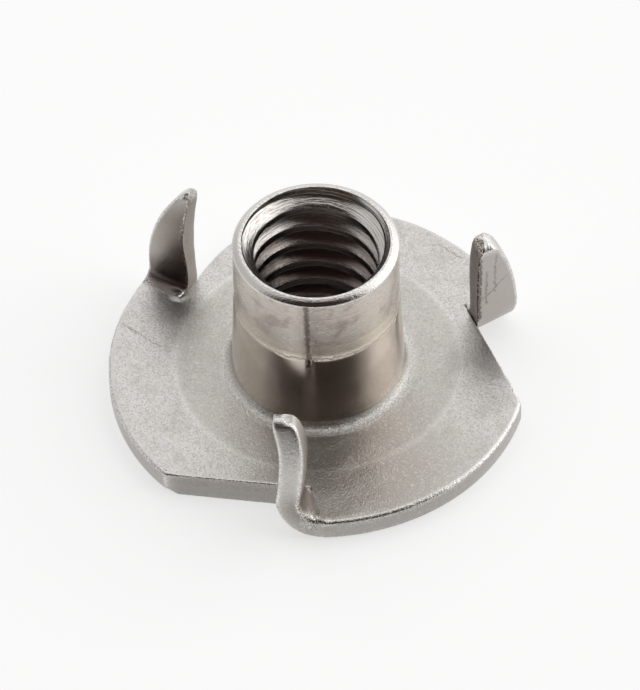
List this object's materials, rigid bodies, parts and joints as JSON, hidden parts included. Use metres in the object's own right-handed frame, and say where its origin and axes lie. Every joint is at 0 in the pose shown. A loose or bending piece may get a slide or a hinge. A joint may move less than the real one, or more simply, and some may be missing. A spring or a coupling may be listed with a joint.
{
  "type": "tee nut",
  "caption": "Pronged tee nut: a stamped round flange with a drawn, internally threaded barrel and prongs bent up from its rim to bite into wood.",
  "frame": {"origin": "on the axis of the bore, in the plane of the flange's underside", "axes": "+Z along the bore axis from the flange to the barrel's mouth, -Y through the middle of the straight cut under the first prong"},
  "size_m": [0.0227, 0.0228, 0.0109],
  "materials": {
    "steel": "tumbled, plain stainless steel, with bright worn edges and fine scuffs"
  },
  "bodies": {
    "root": {"tee_nut": "steel"}
  },
  "joints": []
}
